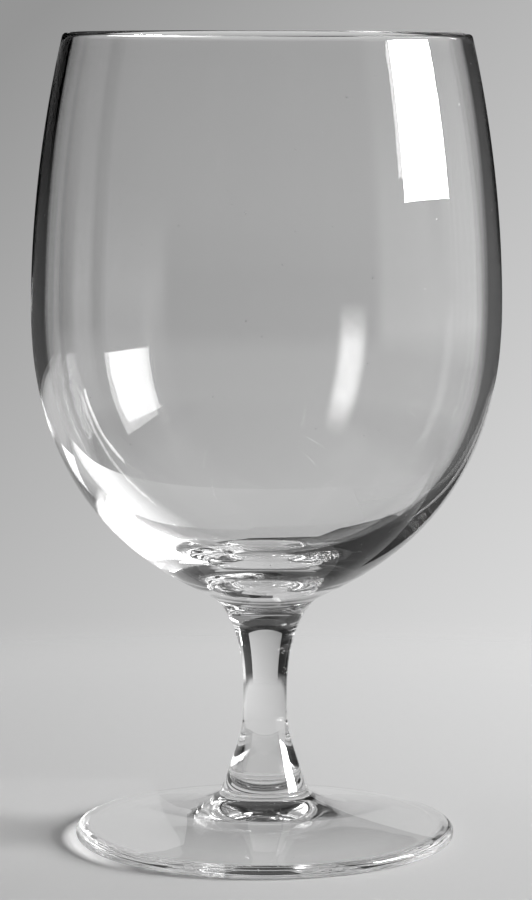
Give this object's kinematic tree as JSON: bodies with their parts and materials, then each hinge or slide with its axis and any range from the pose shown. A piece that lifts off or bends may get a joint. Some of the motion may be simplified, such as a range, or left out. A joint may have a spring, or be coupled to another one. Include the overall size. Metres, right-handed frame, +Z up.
{
  "type": "goblet",
  "caption": "Clear glass goblet with a deep rounded bowl, a short waisted stem and a round flared foot, for holding a drink.",
  "frame": {"origin": "middle of the plane that the foot stands on, on the axis of the glass", "axes": "+Z up along the axis of the glass, from the foot to the rim; X and Y are level and the glass is round about Z"},
  "size_m": [0.087, 0.087, 0.15],
  "materials": {
    "bowl_glass": "clear colourless glass, fire-polished, very smooth",
    "stem_glass": "clear colourless glass, solid, fire-polished, very smooth",
    "foot_glass": "clear colourless glass, smooth, with a rounded edge"
  },
  "bodies": {
    "root": {"bowl": "bowl_glass", "stem": "stem_glass", "foot": "foot_glass"}
  },
  "joints": []
}
